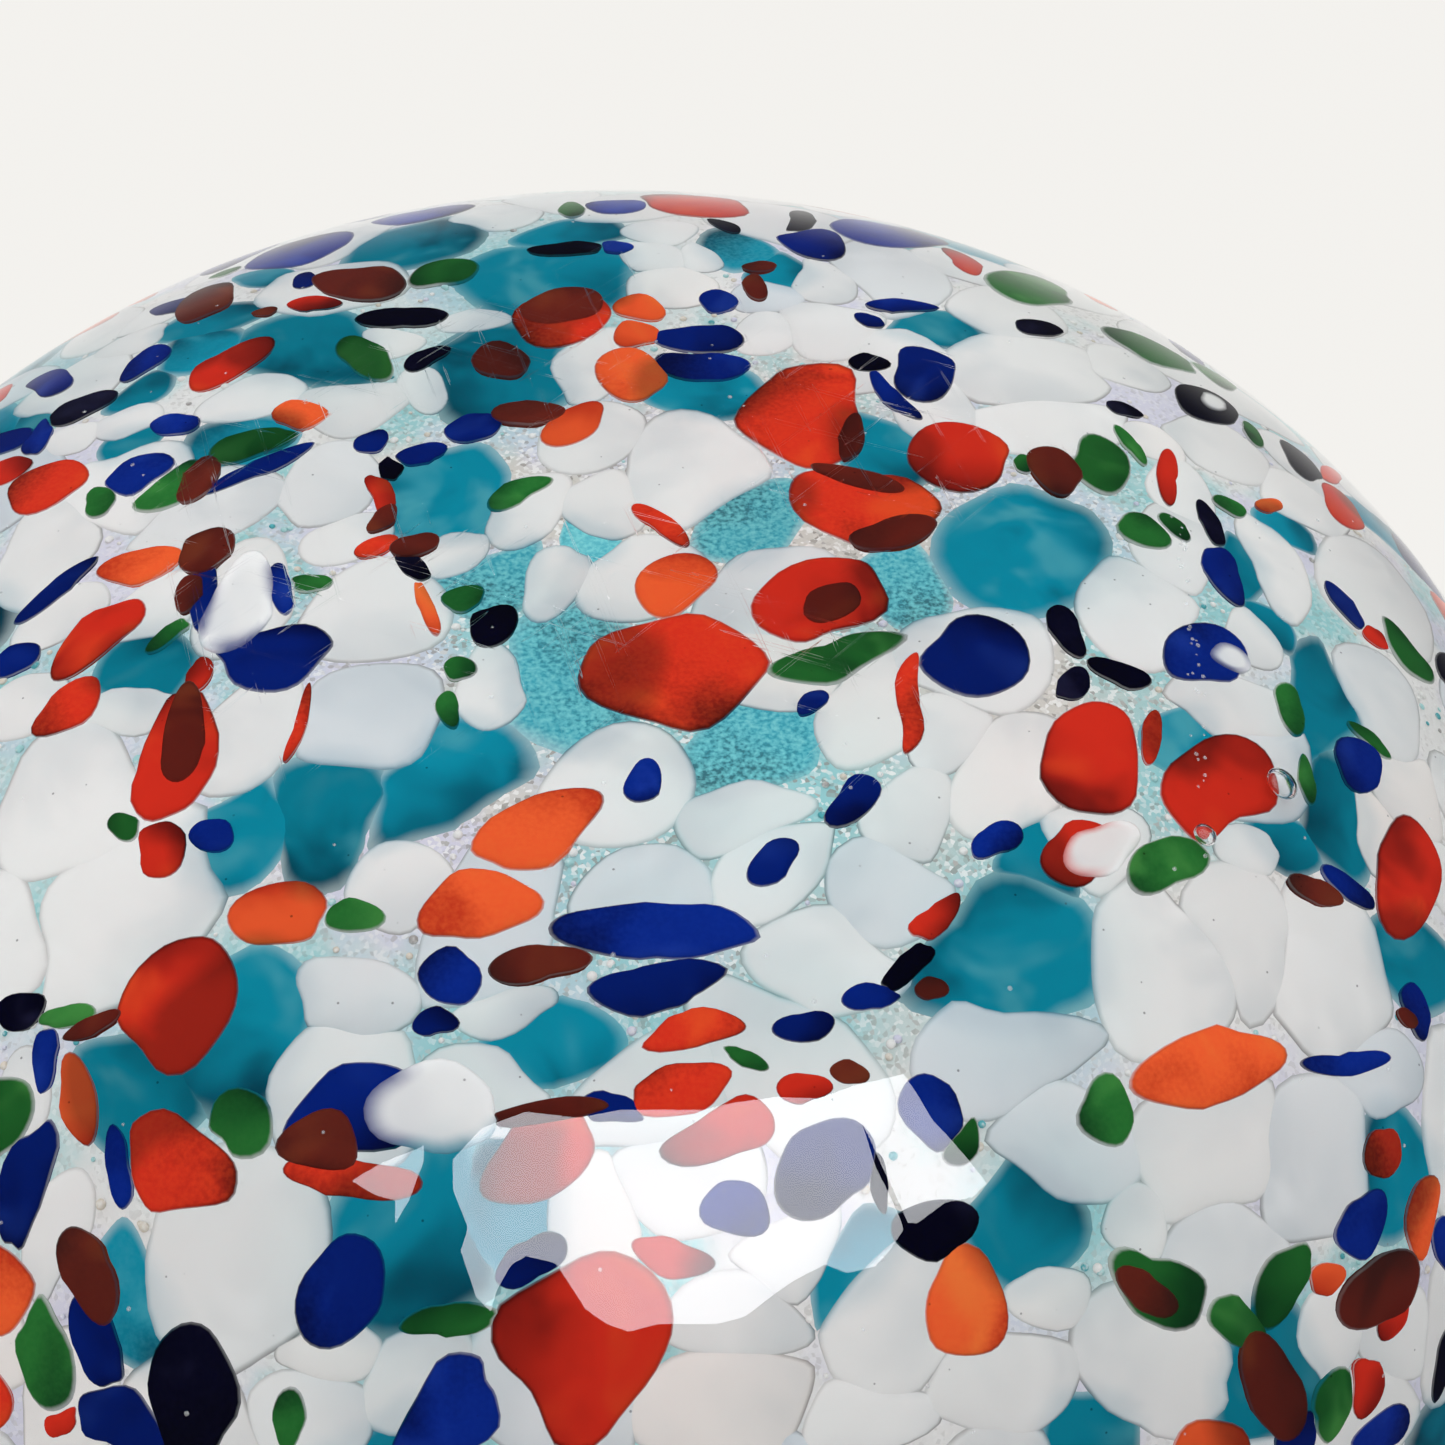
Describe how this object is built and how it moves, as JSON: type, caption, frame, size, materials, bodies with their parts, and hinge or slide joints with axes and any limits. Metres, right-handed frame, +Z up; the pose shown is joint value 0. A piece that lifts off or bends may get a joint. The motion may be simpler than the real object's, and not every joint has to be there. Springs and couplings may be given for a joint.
{
  "type": "art glass bowl",
  "caption": "Round blown-glass bowl with a flat base and an incurved rim, chips of white and coloured glass laid between two clear layers.",
  "frame": {"origin": "middle of the flat base, on the surface that the bowl stands on", "axes": "+Z up the bowl's axis, out of its mouth; the side in the picture faces -Y and down"},
  "size_m": [0.18, 0.18, 0.0808],
  "materials": {
    "clear_glass": "clear, polished, lightly scratched on the base",
    "frit": "fine grain",
    "white_glass": "opal",
    "turquoise_glass": "opal",
    "red_glass": "opaque, glossy",
    "orange_glass": "opaque, glossy",
    "cobalt_glass": "deep, glossy",
    "navy_glass": "deep, glossy",
    "green_glass": "deep, glossy",
    "brown_glass": "deep, glossy"
  },
  "bodies": {
    "root": {"outer_casing": "clear_glass", "inner_lining": "clear_glass", "rim_lip": "clear_glass", "frit_bed": "frit", "white_chips": "white_glass", "turquoise_chips": "turquoise_glass", "red_chips": "red_glass", "orange_chips": "orange_glass", "cobalt_chips": "cobalt_glass", "navy_chips": "navy_glass", "green_chips": "green_glass", "brown_chips": "brown_glass", "milk_chips": "white_glass"}
  },
  "joints": []
}
